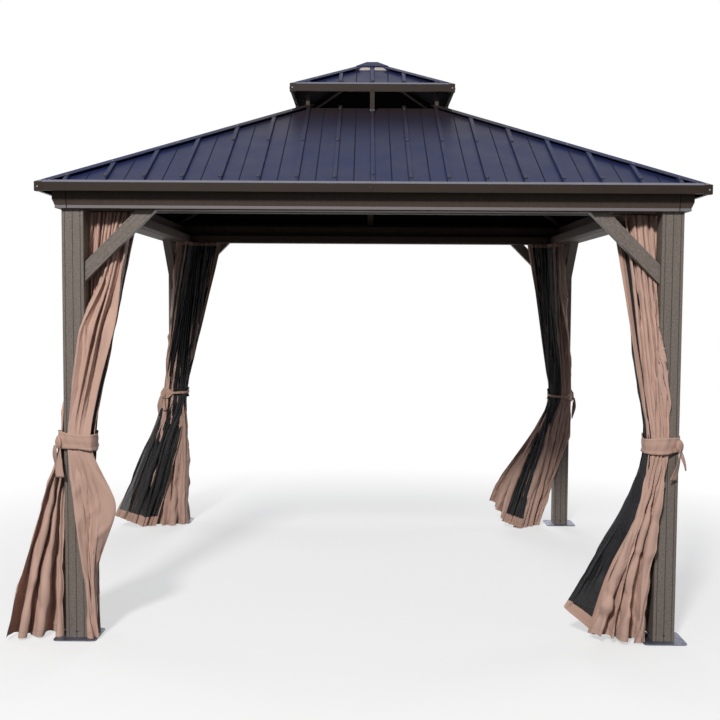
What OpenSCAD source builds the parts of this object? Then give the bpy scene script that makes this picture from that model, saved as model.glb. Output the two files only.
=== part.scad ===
// Metal garden gazebo: four posts, a double hardtop roof with ribbed sheets,
// and a curtain and a netting tied back at each post.
// Origin: centre of the footprint at ground level. The front faces -Y, +X is to the right.

/* [Frame] */
// Width over the outside of the posts, in both directions
frame_w = 2816; // [2400:1:4200]
// Side of a square post
post_w = 100; // [80:1:120]
// Wall thickness of the post's tube
post_wall = 2.5; // [1.5:0.1:4]
// Underside of the beams above the ground
beam_bottom = 1973; // [1800:1:2400]
// Height of a beam's box section
beam_h = 114; // [90:1:150]
// Wall thickness of the beam's extrusion
beam_wall = 2.5; // [1.5:0.1:4]
// Height of the shallow recess above the curtain rail
recess_h = 23; // [10:1:40]
// Depth of the shallow recess above the curtain rail
recess_d = 5; // [2:0.5:10]
// How far the cornice stands out from the posts
cornice_out = 33; // [20:1:50]
// How far the cornice's lower lip stands out from the posts
lip_out = 23; // [12:1:32]
// Height of the cornice's lower lip
lip_h = 13; // [8:1:20]
// Height of the cornice's lower lip above the beam's underside
lip_rise = 4; // [0:1:10]
// Height of the cornice's sloping band
cove_h = 26; // [15:1:40]
// Length of a corner piece of the cornice, from the post's outer face inwards
corner_len = 30; // [15:1:60]

/* [Posts] */
// Corner radius of a post
post_r = 4; // [1:0.5:10]
// Side of a square base plate
plate_w = 200; // [160:1:260]
// Thickness of a base plate
plate_t = 5; // [4:0.5:12]
// Corner radius of a base plate
plate_r = 20; // [5:1:40]
// Distance between anchor holes
anchor_pitch = 160; // [130:1:220]
// Diameter of an anchor hole
anchor_d = 12; // [8:0.5:16]
// Height of the spigot inside the post's foot
spigot_h = 60; // [30:1:120]
// Clearance between the spigot and the post's inside, on each side
spigot_fit = 0.5; // [0.2:0.1:2]
// Width of a decorative groove
groove_w = 3.5; // [2:0.5:6]
// Depth of a decorative groove
groove_d = 1.2; // [0.5:0.1:2]
// Distance of the outer grooves from the post's centre line
groove_pitch = 35; // [20:1:38]

/* [Knee braces] */
// Width of a brace across its length
brace_w = 62; // [40:1:80]
// Thickness of a brace
brace_t = 50; // [30:1:60]
// Distance of a brace's face behind the post's outer face
brace_inset = 18; // [5:1:30]
// Distance along post and beam from their corner to the brace's upper edge
brace_reach = 235; // [150:1:400]

/* [Curtain rails] */
// Width of the double rail
rail_w = 64; // [50:1:90]
// Height of the double rail
rail_h = 48; // [30:1:60]
// How far the double rail reaches below the beam
rail_drop = 3; // [0:1:10]
// Width of a glider slot
slot_w = 9; // [6:0.5:12]
// Depth of a glider slot
slot_d = 3.5; // [2:0.5:6]
// Distance between the two glider slots
slot_pitch = 32; // [24:1:44]

/* [Lower roof] */
// How far the eave stands out from the posts
eave_out = 92; // [75:1:250]
// How far the eave's top edge lies below the tops of the beams
eave_drop = 1; // [0:1:20]
// Slope of the lower roof in degrees
roof_angle = 25.4; // [15:0.1:35]
// Side of the square vent opening
vent_w = 720; // [500:1:1200]
// Distance between ribs
rib_pitch = 172; // [120:1:300]
// Width of a rib at its foot
rib_w = 24; // [14:1:40]
// How much narrower each side of a rib is at its top
rib_taper = 3; // [0:0.5:6]
// Distance between the ribs' cut ends and the hip
rib_hip_gap = 24; // [15:1:40]
// Distance between the ribs' lower ends and the trim's flange
rib_end_gap = 2; // [1:0.5:10]
// Height of a rib above the sheet
rib_h = 14; // [8:1:25]
// Thickness of the roofing sheet
sheet_t = 1.2; // [0.6:0.1:3]
// Height of the eave trim
trim_h = 38; // [25:1:60]
// Thickness of trims and caps
trim_t = 1.8; // [1:0.1:3]
// Width of the trim's upper flange
flange_w = 26; // [15:1:40]
// Width of the trim's lower return
return_w = 16; // [8:1:30]
// Width of a hip cap's wing
cap_w = 45; // [30:1:80]
// Length of a corner cap along the eave
corner_cap = 31; // [20:1:60]

/* [Roof frame] */
// Width of rafters and purlins
rafter_w = 40; // [25:1:60]
// Depth of rafters
rafter_h = 40; // [25:1:60]
// Depth of purlins
purlin_h = 25; // [15:1:40]
// Distance of a purlin from the eave, in plan
purlin_back = 577; // [300:1:800]
// Width of the vent frame's tube
ring_w = 40; // [30:1:60]
// How far the sheets lap over the vent frame
ring_lap = 18; // [10:1:25]
// Height of the vent frame's tube
ring_h = 30; // [20:1:60]

/* [Top roof] */
// How far the top roof's eave stands out beyond the vent opening
top_over = 80; // [60:1:160]
// Height of the top roof's eave above the upper edge of the lower roof
vent_rise = 99.7; // [80:0.1:200]
// Slope of the top roof in degrees
top_angle = 25; // [15:0.1:35]
// Side of the open peak, which the top cap covers
peak_w = 100; // [60:1:160]
// Side of the top cap at its foot
top_cap_w = 184; // [150:1:260]
// Height of the top cap's upright rim
top_cap_rim = 3; // [1:0.5:8]
// Side of the top cap's flat top
top_cap_flat = 62; // [30:1:120]
// Height of the top cap's flat top above the peak of its own slope
top_cap_rise = 38; // [20:1:70]
// Side of the top roof's hip bars
top_bar = 24; // [16:1:30]
// Side of the hub that carries the hip bars
hub_w = 72; // [50:1:100]
// Height of the hub
hub_h = 30; // [15:1:50]
// Diameter of the pin between the hub and the top cap
hub_pin = 16; // [8:1:24]
// Side of a square vent strut
strut_w = 20; // [12:1:30]
// Width of a vent strap
strap_w = 24; // [15:1:40]
// Length of a vent strap's foot
strap_foot = 24; // [15:1:40]
// Length of a vent strap's upper tab
strap_tab = 14; // [8:1:16]

/* [Curtains] */
// Height of the tie band's lower edge
band_z = 885; // [700:1:1100]
// Height of the tie band
band_h = 72; // [40:1:120]
// Thickness of the tie band
band_t = 3; // [2:0.5:6]
// Width that a drawn curtain takes along its rail
curtain_w = 278; // [150:1:500]
// Thickness of a drawn curtain or netting
curtain_t = 43.5; // [30:0.5:60]
// How far the tied bundle reaches outwards from the post's centre line
bundle_out = 42; // [20:1:48]
// How far the tied bundle reaches inwards from the post's centre line
bundle_in = 88; // [60:1:140]
// Depth of the tied bundle behind the post
bundle_deep = 95.5; // [70:0.5:140]
// Depth of the curtain's share of the bundle
bundle_cloth = 43.5; // [25:0.5:60]
// Width of the fan of cloth beside the post, at the band
fan_w = 40; // [20:1:60]
// How much farther than the curtain a netting reaches along its rail
netting_more = 30; // [0:1:100]
// How far the lower hems are blown towards -X
hem_lean = 215; // [0:1:300]
// How far the lower hems are blown towards -Y
hem_front = 85; // [0:1:120]
// Gap between the hems and the base plates
hem_gap = 3; // [1:1:30]

/* [Hidden] */
$fn = 48;

fit = 0.3;            // clearance between pieces that meet
join = 0.01;          // overlap of shapes that form one piece
splice = 0.4;         // gap at the middle splice of beams and trims
far = 9000;           // longer than anything that is cut

frame_half = frame_w / 2;
post_at = frame_half - post_w / 2;
post_in = frame_half - post_w;
beam_top = beam_bottom + beam_h;
post_top = beam_top - fit;
eave_half = frame_half + eave_out;
eave_z = beam_top - eave_drop;
purlin_at = eave_half - purlin_back;
vent_half = vent_w / 2;
top_half = vent_half + top_over;
top_z = lower_z(vent_half) + vent_rise;
peak_half = peak_w / 2;
rail_in = post_in - rail_w;
rail_bottom = beam_bottom - rail_drop;
lip_z = beam_bottom + lip_rise;
hem_z = plate_t + hem_gap;
cloth_gap = 0.5;      // clearance between folded cloths
cloth_near = post_w / 2 + 5 * cloth_gap;
cloth_mid = cloth_near + curtain_t;
cloth_far = cloth_mid + curtain_t;
bundle_far = cloth_near + bundle_deep;
share_cloth = cloth_near + bundle_cloth;
share_1 = cloth_near + bundle_deep / 3;
share_2 = cloth_near + bundle_deep * 2 / 3;
share_x = (bundle_in - bundle_out) / 2;
knot_top = band_z + band_h + hem_gap;

// The four sides, turned about the centre, and the four corners
FRONT = 0;
RIGHT = 90;
REAR = 180;
LEFT = 270;
SIDES = [FRONT, RIGHT, REAR, LEFT];
CORNERS = [[-1, -1], [1, -1], [-1, 1], [1, 1]];

// Height of a roof's rib tops at a distance from the centre, in plan
function lower_z(at) = eave_z + (eave_half - at) * tan(roof_angle);
function top_roof_z(at) = top_z + (top_half - at) * tan(top_angle);
// Vertical depth of a thickness measured square to a slope
function down(t, angle) = t / cos(angle);
// Slope along a hip, and how far the roof falls beside it in a square section
function hip_angle(angle) = atan(tan(angle) / sqrt(2));
function hip_fall(half_w, angle) = half_w * tan(angle) / sqrt(2) * cos(hip_angle(angle));

skin = rib_h + sheet_t + fit;                        // rib tops to what carries the sheets
under_lower = down(skin, roof_angle);
under_top = down(skin, top_angle);
ring_out = vent_half + ring_lap;
ring_top = lower_z(ring_out) - under_lower;
rib_end = eave_half - flange_w - rib_end_gap;
sheet_end = eave_half - trim_t - fit;
top_rib_end = top_half - flange_w - rib_end_gap;
top_sheet_end = top_half - trim_t - fit;
cornice_top = lower_z(frame_half) - under_lower;
strut_at = vent_half - fit - strut_w / 2;

FRAME_BROWN = [0.33, 0.29, 0.26];
TRIM_BROWN = [0.27, 0.23, 0.21];
ROOF_BROWN = [0.18, 0.16, 0.17];
STEEL = [0.62, 0.64, 0.68];
TAN = [0.75, 0.62, 0.55];
MESH_BLACK = [0.13, 0.13, 0.14];

// ---------- helpers ----------

// A section drawn in Y and Z, drawn out along X
module along_x(from, to) {
    translate([from, 0, 0]) rotate([90, 0, 90]) linear_extrude(to - from) children();
}

// The share of the plan that belongs to the front side, short of the hips by gap
module front_wedge(gap, inner, outer) {
    linear_extrude(far)
        polygon([
            [-(outer - gap), -outer], [outer - gap, -outer],
            [max(inner - gap, 0.01), -inner], [-max(inner - gap, 0.01), -inner]
        ]);
}

module rounded_square(side, r) {
    square([side - 2 * r, side], center = true);
    square([side, side - 2 * r], center = true);
    for (c = CORNERS) translate((side / 2 - r) * c) circle(r);
}

module box_between(low, high) {
    translate(low) cube(high - low);
}

// ---------- posts ----------

module post_section() {
    difference() {
        rounded_square(post_w, post_r);
        for (turn = SIDES, at = [-groove_pitch, 0, groove_pitch])
            rotate(turn) translate([at, -post_w / 2]) square([groove_w, 2 * groove_d], center = true);
        square(post_w - 2 * post_wall - 2 * groove_d, center = true);
    }
}

module post(corner) {
    color(FRAME_BROWN) translate([corner[0] * post_at, corner[1] * post_at, plate_t]) {
        linear_extrude(post_top - plate_t) post_section();
        translate([0, 0, post_top - plate_t - post_wall])
            linear_extrude(post_wall) square(post_w - 2 * post_wall, center = true);
    }
}

module base_plate() {
    spigot_w = post_w - 2 * post_wall - 2 * groove_d - 2 * spigot_fit;
    difference() {
        union() {
            linear_extrude(plate_t) rounded_square(plate_w, plate_r);
            translate([0, 0, plate_t]) linear_extrude(spigot_h) square(spigot_w, center = true);
        }
        translate([0, 0, plate_t])
            linear_extrude(far) square(spigot_w - 2 * post_wall, center = true);
        for (c = CORNERS) translate(anchor_pitch / 2 * c) cylinder(h = far, d = anchor_d, center = true);
    }
}

module base_plates() {
    color(STEEL) for (c = CORNERS) translate(post_at * c) base_plate();
}

// ---------- beams ----------

// The box between the posts, with a shallow recess above the curtain rail
module beam_box_section() {
    difference() {
        translate([-frame_half, beam_bottom]) square([post_w, beam_h]);
        translate([-frame_half + beam_wall, beam_bottom + beam_wall])
            square([post_w - 2 * beam_wall - recess_d, beam_h - 2 * beam_wall]);
        translate([-post_in - recess_d, rail_bottom + rail_h]) square([far, recess_h]);
    }
}

// The moulding outside the posts: upright band, sloping band and lower lip
module cornice_section() {
    top_out = lower_z(frame_half + cornice_out) - under_lower;
    top_in = cornice_top;
    band_bottom = lip_z + lip_h + cove_h;
    polygon([
        [-frame_half, top_in],
        [-frame_half - cornice_out, top_out],
        [-frame_half - cornice_out, band_bottom],
        [-frame_half - lip_out, lip_z + lip_h],
        [-frame_half - lip_out, lip_z],
        [-frame_half, lip_z],
        [-frame_half, lip_z + beam_wall],
        [-frame_half - lip_out + beam_wall, lip_z + beam_wall],
        [-frame_half - lip_out + beam_wall, lip_z + lip_h],
        [-frame_half - cornice_out + beam_wall, band_bottom],
        [-frame_half - cornice_out + beam_wall, top_out - beam_wall],
        [-frame_half, top_in - beam_wall]
    ]);
}

// The wall that the box and the moulding share, up to the moulding's upper flange
module shared_wall_section() {
    translate([-frame_half - join, lip_z]) square([beam_wall, cornice_top - lip_z]);
}

module beam(turn) {
    joint = frame_half - corner_len;
    color(FRAME_BROWN) rotate(turn) for (m = [0, 1]) mirror([m, 0, 0]) {
        along_x(splice / 2, post_in - fit) {
            beam_box_section();
            shared_wall_section();
        }
        along_x(splice / 2, joint - splice) cornice_section();
    }
}

module beam_corners() {
    joint = frame_half - corner_len;
    color(FRAME_BROWN) for (turn = SIDES) rotate(turn) {
        intersection() {
            along_x(joint, far / 2) cornice_section();
            front_wedge(0, post_in, eave_half);
        }
        rotate(90) intersection() {
            along_x(-far / 2, -joint) cornice_section();
            front_wedge(0, post_in, eave_half);
        }
    }
}

// ---------- knee braces ----------

// Outline of a brace beside the left post, in X and Z, grown by extra on both long edges
module brace_outline(near, wide) {
    corner = [-post_in, beam_bottom];
    span = wide * sqrt(2);
    polygon([
        corner + [fit, -near], corner + [near, -fit],
        corner + [near + span, -fit], corner + [fit, -near - span]
    ]);
}

module brace() {
    face = -frame_half + brace_inset;
    translate([0, face + brace_t, 0]) rotate([90, 0, 0]) difference() {
        linear_extrude(brace_t) brace_outline(brace_reach, brace_w);
        for (share = [0.15, 0.5, 0.85], z = [0, brace_t])
            translate([0, 0, z - groove_d]) linear_extrude(2 * groove_d)
                brace_outline(brace_reach + (share * brace_w - groove_w / 2) * sqrt(2), groove_w);
    }
}

module braces(turn) {
    color(FRAME_BROWN) rotate(turn) for (m = [0, 1]) mirror([m, 0, 0]) brace();
}

// ---------- curtain rails ----------

module rail_section() {
    difference() {
        translate([-post_in, rail_bottom]) square([rail_w, rail_h]);
        for (side = [-1, 1])
            translate([-post_in + rail_w / 2 + side * slot_pitch / 2, rail_bottom])
                square([slot_w, 2 * slot_d], center = true);
    }
}

module curtain_rails() {
    color(FRAME_BROWN) for (turn = SIDES) rotate(turn) intersection() {
        along_x(-post_in, post_in) rail_section();
        front_wedge(fit, rail_in - slot_w, post_in);
    }
}

// ---------- roof frame ----------

// A bar under one slope that runs up the slope at x = 0, cut upright at both ends
module slope_bar(half, z, angle, from, to, wide, deep) {
    intersection() {
        translate([0, -half, z]) rotate([angle, 0, 0])
            translate([-wide / 2, -far / 4, -skin - deep]) cube([wide, far / 2, deep]);
        box_between([-wide, -from, 0], [wide, -to, far]);
    }
}

// A bar under a hip with a peaked top, towards the front right corner, cut upright at both ends
module hip_bar(half, z, angle, from, to, wide, deep) {
    rise = hip_angle(angle);
    fall = hip_fall(wide / 2, angle);
    drop = skin / cos(angle) * cos(rise);
    intersection() {
        translate([half, -half, z]) rotate([0, 0, 135]) rotate([0, -rise, 0])
            translate([-far / 4, 0, -drop]) rotate([90, 0, 90]) linear_extrude(far / 2)
                polygon([
                    [0, 0], [wide / 2, -fall], [wide / 2, -fall - deep],
                    [-wide / 2, -fall - deep], [-wide / 2, -fall]
                ]);
        rotate(-45) box_between([to * sqrt(2), -wide, 0], [from * sqrt(2), wide, far]);
    }
}

module hip_rafters() {
    color(FRAME_BROWN) for (turn = SIDES) rotate(turn)
        hip_bar(eave_half, eave_z, roof_angle, hip_foot, ring_out + fit, rafter_w, rafter_h);
}

// Where a rafter's underside comes down to the beams and posts
hip_foot = eave_half - (beam_top + fit - eave_z + under_lower
    + (hip_fall(rafter_w / 2, roof_angle) + rafter_h) / cos(hip_angle(roof_angle))) / tan(roof_angle);
mid_foot = eave_half - (beam_top + fit - eave_z + under_lower + down(rafter_h, roof_angle)) / tan(roof_angle);

module mid_rafters() {
    color(FRAME_BROWN) for (turn = SIDES) rotate(turn)
        slope_bar(eave_half, eave_z, roof_angle, mid_foot, ring_out + fit, rafter_w, rafter_h);
}

module purlins() {
    hip_gap = rafter_w / sqrt(2) + 2 * fit;
    color(FRAME_BROWN) for (turn = SIDES) rotate(turn) for (m = [0, 1]) mirror([m, 0, 0])
        intersection() {
            translate([0, -eave_half, eave_z]) rotate([roof_angle, 0, 0])
                translate([0, (eave_half - purlin_at) / cos(roof_angle) - rafter_w / 2, -skin - purlin_h])
                    cube([far, rafter_w, purlin_h]);
            box_between([rafter_w / 2 + fit, -eave_half, 0], [eave_half, 0, far]);
            front_wedge(hip_gap, ring_out, eave_half);
        }
}

module vent_frame() {
    color(FRAME_BROWN) translate([0, 0, ring_top - ring_h]) linear_extrude(ring_h) difference() {
        square(2 * ring_out, center = true);
        square(2 * (ring_out - ring_w), center = true);
    }
}

// ---------- ribbed sheets ----------

module rib(length) {
    rotate([90, 0, 180]) linear_extrude(length)
        polygon([
            [-rib_w / 2, -rib_h - sheet_t / 2], [rib_w / 2, -rib_h - sheet_t / 2],
            [rib_w / 2 - rib_taper, 0], [-rib_w / 2 + rib_taper, 0]
        ]);
}

// One slope of a roof: a sheet with ribs, short of the hips, open above the inner edge
module slope(half, z, angle, inner, sheet_out, rib_out) {
    ribs = floor((half - rib_w) / rib_pitch);
    intersection() {
        translate([0, -half, z]) rotate([angle, 0, 0])
            translate([-half, -far / 4, -rib_h - sheet_t]) cube([2 * half, far / 2, sheet_t]);
        front_wedge(fit, inner, sheet_out);
    }
    intersection() {
        translate([0, -half, z]) rotate([angle, 0, 0])
            for (n = [-ribs:ribs]) translate([n * rib_pitch, 0, 0]) rib(half / cos(angle));
        front_wedge(rib_hip_gap, inner, rib_out);
    }
}

module roof_slope(turn) {
    color(ROOF_BROWN) rotate(turn)
        slope(eave_half, eave_z, roof_angle, vent_half, sheet_end, rib_end);
}

module top_slope(turn) {
    color(ROOF_BROWN) rotate(turn)
        slope(top_half, top_z, top_angle, peak_half, top_sheet_end, top_rib_end);
}

// ---------- hip caps ----------

// One wing of a hip cap: a strip of the front slope beside the right-hand hip
module cap_wing(half, z, angle, inner, outer, lift) {
    intersection() {
        translate([0, -half, z]) rotate([angle, 0, 0])
            translate([-half, -far / 4, lift]) cube([2 * half, far / 2, trim_t]);
        linear_extrude(far) polygon([
            [outer, -outer], [outer - cap_w, -outer], [inner - cap_w, -inner], [inner, -inner]
        ]);
    }
}

module hip_cap(half, z, angle, inner, outer) {
    cap_wing(half, z, angle, inner, outer, fit);
    rotate(90) mirror([1, 0, 0]) cap_wing(half, z, angle, inner, outer, fit);
}

module hip_caps() {
    color(ROOF_BROWN) for (turn = SIDES) rotate(turn)
        hip_cap(eave_half, eave_z, roof_angle, vent_half, eave_half - flange_w - fit);
}

module top_hip_caps() {
    color(ROOF_BROWN) for (turn = SIDES) rotate(turn)
        hip_cap(top_half, top_z, top_angle, peak_half, top_half - flange_w - fit);
}

// ---------- eave trims ----------

// Upright face with an upper flange along the slope and a lower return, grown outwards by out
module trim_section(half, z, angle, out) {
    rise = flange_w * tan(angle);
    t = down(trim_t, angle);
    polygon([
        [-half - out, z + out], [-half + flange_w, z + out + rise],
        [-half + flange_w, z + out + rise - t], [-half - out + trim_t, z + out - t + trim_t * tan(angle)],
        [-half - out + trim_t, z - trim_h + trim_t - out], [-half + return_w, z - trim_h + trim_t - out],
        [-half + return_w, z - trim_h - out], [-half - out, z - trim_h - out]
    ]);
}

module eave_trims() {
    color(TRIM_BROWN) for (turn = SIDES) rotate(turn) for (m = [0, 1]) mirror([m, 0, 0])
        intersection() {
            along_x(splice / 2, eave_half) trim_section(eave_half, eave_z, roof_angle, 0);
            front_wedge(fit, eave_half - flange_w, eave_half);
        }
}

module top_trims() {
    color(TRIM_BROWN) for (turn = SIDES) rotate(turn) intersection() {
        along_x(-top_half, top_half) trim_section(top_half, top_z, top_angle, 0);
        front_wedge(fit, top_half - flange_w, top_half);
    }
}

// A cap wraps the trims where two sides meet
module corner_wrap(half, z, angle) {
    grow = trim_t + fit;
    for (m = [0, 1]) rotate(90 * m) mirror([m, 0, 0]) intersection() {
        along_x(half - corner_cap, half + grow) difference() {
            trim_section(half, z, angle, grow);
            offset_trim(half, z, angle);
        }
        front_wedge(0, half - flange_w, half + grow);
    }
}

// The room inside a corner cap, a clearance larger than the trim
module offset_trim(half, z, angle) {
    inner = 2 * flange_w;
    polygon([
        [-half - fit, z + fit], [-half + inner, z + fit + inner * tan(angle)],
        [-half + inner, z - trim_h - fit], [-half - fit, z - trim_h - fit]
    ]);
}

module eave_corner_caps() {
    color(TRIM_BROWN) for (turn = SIDES) rotate(turn) corner_wrap(eave_half, eave_z, roof_angle);
}

module top_corner_caps() {
    color(TRIM_BROWN) for (turn = SIDES) rotate(turn) corner_wrap(top_half, top_z, top_angle);
}

// ---------- vent and top ----------

cap_lift = down(2 * fit + trim_t, top_angle);         // hip caps lie between roof and top cap
strut_top = top_roof_z(strut_at + strut_w / 2) - under_top
    - (hip_fall(top_bar / 2, top_angle) + top_bar) / cos(hip_angle(top_angle)) - fit;

module vent_struts() {
    color(FRAME_BROWN) for (c = CORNERS)
        translate([c[0] * strut_at, c[1] * strut_at, ring_top])
            linear_extrude(strut_top - ring_top) square(strut_w, center = true);
}

module vent_straps() {
    out = top_half - trim_t - fit;
    end = out + strap_foot;
    foot = down(fit, roof_angle);
    top = down(fit + trim_t, roof_angle);
    tab_z = top_z - trim_h - fit;
    color(ROOF_BROWN) for (turn = SIDES) rotate(turn) along_x(-strap_w / 2, strap_w / 2) polygon([
        [-out + strap_tab, tab_z], [-out, tab_z], [-out, lower_z(out) + top],
        [-end, lower_z(end) + top], [-end, lower_z(end) + foot],
        [-out + trim_t, lower_z(out - trim_t) + foot], [-out + trim_t, tab_z - trim_t],
        [-out + strap_tab, tab_z - trim_t]
    ]);
}

module top_rafters() {
    hub_top = top_roof_z(hub_w / 2) - under_top - fit;
    pin_top = top_roof_z(peak_half) + cap_lift - fit;
    color(FRAME_BROWN) {
        for (turn = SIDES) rotate(turn)
            hip_bar(top_half, top_z, top_angle, top_half - flange_w, hub_w / 4, top_bar, top_bar);
        translate([0, 0, hub_top - hub_h]) linear_extrude(hub_h) square(hub_w, center = true);
        translate([0, 0, hub_top - hub_h]) cylinder(h = pin_top - hub_top + hub_h, d = hub_pin);
    }
}

// A four-sided pyramid stump between two half widths and heights
module stump(half_low, z_low, half_high, z_high) {
    intersection_for(turn = [0, 90]) rotate(turn) along_x(-half_low, half_low) polygon([
        [-half_low, z_low], [half_low, z_low], [half_high, z_high], [-half_high, z_high]
    ]);
}

module top_cap() {
    foot = top_cap_w / 2;
    foot_z = top_roof_z(foot) + cap_lift;
    over = foot + top_cap_rim;
    color(ROOF_BROWN) difference() {
        union() {
            stump(foot, foot_z + top_cap_rim, top_cap_flat / 2, foot_z + top_cap_rise);
            translate([0, 0, foot_z]) linear_extrude(top_cap_rim + join) square(top_cap_w, center = true);
        }
        stump(over, top_roof_z(over) + cap_lift, peak_half, top_roof_z(peak_half) + cap_lift);
    }
}

// ---------- curtains, nettings and their bands ----------

// A gathered piece between an upper and a lower rectangle, both [[x, y], [x, y]]
module gathered(top, z_top, low, z_low) {
    slice = 0.1;
    hull() {
        box_between([top[0][0], top[0][1], z_top - slice], [top[1][0], top[1][1], z_top]);
        box_between([low[0][0], low[0][1], z_low], [low[1][0], low[1][1], z_low + slice]);
    }
}

// A corner's own frame: +X and +Y run inwards from the post's centre
module at_corner(corner) {
    translate([corner[0] * post_at, corner[1] * post_at, 0])
        mirror([max(corner[0], 0), 0, 0]) mirror([0, max(corner[1], 0), 0]) children();
}

// Two wings of a curtain, from the rails along two sides down to the band behind the post
module upper_curtain() {
    wing_end = cloth_near + curtain_w;
    gathered([[cloth_near, cloth_near], [wing_end, cloth_mid]], rail_bottom - fit,
        [[-bundle_out, cloth_near], [bundle_in, share_1]], knot_top);
    gathered([[cloth_near, cloth_mid + cloth_gap], [cloth_mid, wing_end]], rail_bottom - fit,
        [[-bundle_out, share_1 + cloth_gap], [share_x, bundle_far]], knot_top);
}

module upper_netting() {
    wing_end = cloth_near + curtain_w + netting_more;
    near = cloth_mid + cloth_gap;
    gathered([[near, near], [wing_end, cloth_far]], rail_bottom - fit,
        [[share_x + cloth_gap, share_1 + cloth_gap], [bundle_in, share_2]], knot_top);
    gathered([[near, cloth_far + cloth_gap], [cloth_far, wing_end]], rail_bottom - fit,
        [[share_x + cloth_gap, share_2 + cloth_gap], [bundle_in, bundle_far]], knot_top);
}

// Below the band, beside the post's -X face: blown to the left and forwards
module fan(corner) {
    x = corner[0] * post_at - post_w / 2;
    y = corner[1] * post_at;
    reach = post_w / 2 - cloth_gap;
    gathered([[x - fan_w, y - reach], [x - cloth_gap, y + reach]], band_z - fit,
        [[x - fan_w - hem_lean, y - reach - hem_front], [x - fan_w, y + reach - hem_front]], hem_z);
}

// Below the band, behind the post: a share of the bundle from low to high, and its hem
module bundle(corner, low, high, lean, forward) {
    side = -corner[0];
    inward = -corner[1];
    xs = [for (at = [bundle_in, -bundle_out]) corner[0] * post_at + side * at];
    ys = [for (at = [low, high]) corner[1] * post_at + inward * at];
    from = [min(xs), min(ys)];
    to = [max(xs), max(ys)];
    box_between([from[0], from[1], band_z], [to[0], to[1], knot_top - fit]);
    gathered([from, to], band_z + join, [from - [lean, forward], to - [lean, forward]], hem_z);
}

// The front left bundle is sheltered, so its share behind the post hangs nearly straight
function sheltered(corner) = corner[0] < 0 && corner[1] < 0;
function lean(corner) = sheltered(corner) ? 0.05 * hem_lean : 0.7 * hem_lean;
function forward(corner) = corner[1] > 0 ? hem_front : 0;

module curtain(corner) {
    color(TAN) {
        at_corner(corner) upper_curtain();
        fan(corner);
        bundle(corner, cloth_near, share_cloth, lean(corner), forward(corner));
    }
}

module netting(corner) {
    color(MESH_BLACK) {
        at_corner(corner) upper_netting();
        bundle(corner, share_cloth + cloth_gap, bundle_far, lean(corner), forward(corner));
    }
}

module tie_bands() {
    out = post_w / 2 + fit;
    color(TAN) for (c = CORNERS) at_corner(c) translate([0, 0, band_z]) linear_extrude(band_h) difference() {
        translate([-out - band_t, -out - band_t])
            square([out + bundle_in + fit + 2 * band_t, out + bundle_far + fit + 2 * band_t]);
        translate([-out, -out]) square([out + bundle_in + fit, out + bundle_far + fit]);
    }
}

base_plates();
post([-1, -1]);  // post_front_left
post([1, -1]);  // post_front_right
post([-1, 1]);  // post_rear_left
post([1, 1]);  // post_rear_right
beam(FRONT);  // beam_front
beam(REAR);  // beam_rear
beam(LEFT);  // beam_left
beam(RIGHT);  // beam_right
beam_corners();
braces(FRONT);  // braces_front
braces(REAR);  // braces_rear
braces(LEFT);  // braces_left
braces(RIGHT);  // braces_right
curtain_rails();
hip_rafters();
mid_rafters();
purlins();
vent_frame();
roof_slope(FRONT);  // roof_front
roof_slope(REAR);  // roof_rear
roof_slope(LEFT);  // roof_left
roof_slope(RIGHT);  // roof_right
hip_caps();
eave_trims();
eave_corner_caps();
vent_struts();
vent_straps();
top_rafters();
top_slope(FRONT);  // top_roof_front
top_slope(REAR);  // top_roof_rear
top_slope(LEFT);  // top_roof_left
top_slope(RIGHT);  // top_roof_right
top_hip_caps();
top_trims();
top_corner_caps();
top_cap();
curtain([-1, -1]);  // curtain_front_left
curtain([1, -1]);  // curtain_front_right
curtain([-1, 1]);  // curtain_rear_left
curtain([1, 1]);  // curtain_rear_right
netting([-1, -1]);  // netting_front_left
netting([1, -1]);  // netting_front_right
netting([-1, 1]);  // netting_rear_left
netting([1, 1]);  // netting_rear_right
tie_bands();
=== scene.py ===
import math
import bpy
import numpy as np
from mathutils import Matrix, Vector


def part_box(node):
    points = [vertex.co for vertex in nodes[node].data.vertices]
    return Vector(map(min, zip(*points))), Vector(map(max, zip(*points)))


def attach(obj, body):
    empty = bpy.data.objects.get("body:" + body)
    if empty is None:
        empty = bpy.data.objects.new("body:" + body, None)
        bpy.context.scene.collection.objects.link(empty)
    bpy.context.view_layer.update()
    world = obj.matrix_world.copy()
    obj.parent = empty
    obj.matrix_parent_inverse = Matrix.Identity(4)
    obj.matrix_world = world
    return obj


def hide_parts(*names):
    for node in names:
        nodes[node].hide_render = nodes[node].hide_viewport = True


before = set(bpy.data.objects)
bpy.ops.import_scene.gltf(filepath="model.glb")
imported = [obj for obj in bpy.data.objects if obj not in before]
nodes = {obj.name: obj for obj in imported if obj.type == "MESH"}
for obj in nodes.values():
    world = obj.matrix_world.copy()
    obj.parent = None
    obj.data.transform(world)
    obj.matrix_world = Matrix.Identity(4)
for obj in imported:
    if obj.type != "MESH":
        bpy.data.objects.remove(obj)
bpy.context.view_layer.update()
scene = bpy.context.scene

# ---------- sizes in metres, from the frame where a node's box gives them ----------

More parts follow.
